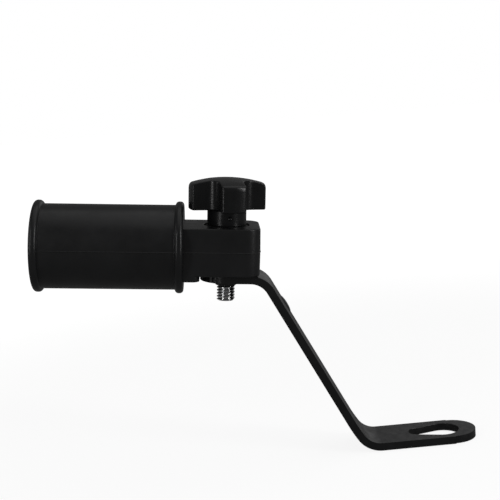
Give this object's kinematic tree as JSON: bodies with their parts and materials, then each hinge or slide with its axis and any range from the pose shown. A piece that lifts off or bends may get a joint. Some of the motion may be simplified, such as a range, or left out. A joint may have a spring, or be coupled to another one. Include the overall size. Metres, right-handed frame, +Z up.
{
  "type": "swivel bracket",
  "caption": "Moulded tube socket that swivels on a knobbed clamp bolt at the top of a bent steel strap, whose slotted foot bolts to its support.",
  "frame": {"origin": "middle of the foot's slot, on the foot's underside", "axes": "+Z up and square to the foot, +Y along the foot away from the tube socket, X across the strap"},
  "size_m": [0.042, 0.1983, 0.1319],
  "materials": {
    "powder_coated_steel": "satin",
    "socket_plastic": "fine grain",
    "washer_plastic": "matte",
    "knob_plastic": "semi-gloss",
    "zinc_plated_steel": "bright zinc"
  },
  "bodies": {
    "strap": {"strap_arm": "powder_coated_steel"},
    "socket": {"socket_body": "socket_plastic"},
    "washer": {"thrust_washer": "washer_plastic"},
    "hand_knob": {"knob": "knob_plastic", "clamp_bolt": "zinc_plated_steel"}
  },
  "joints": [
    {"name": "tube_swivel", "type": "hinge", "parent": "strap", "child": "socket", "pos_m": [0, -0.09109, 0.08857], "axis": [0, 0.1028, 0.9947], "range_deg": [-90, 90]},
    {"name": "knob_lift", "type": "slide", "parent": "strap", "child": "washer", "axis": [0, 0.1028, 0.9947], "range_m": [0, 0.00705]},
    {"name": "knob_turn", "type": "hinge", "parent": "washer", "child": "hand_knob", "pos_m": [0, -0.09109, 0.08857], "axis": [0, 0.1028, 0.9947], "range_deg": [0, 1800]}
  ],
  "couplings": [
    {"joint": "knob_turn", "follows": "knob_lift", "rad_per_m": 4452.6}
  ]
}
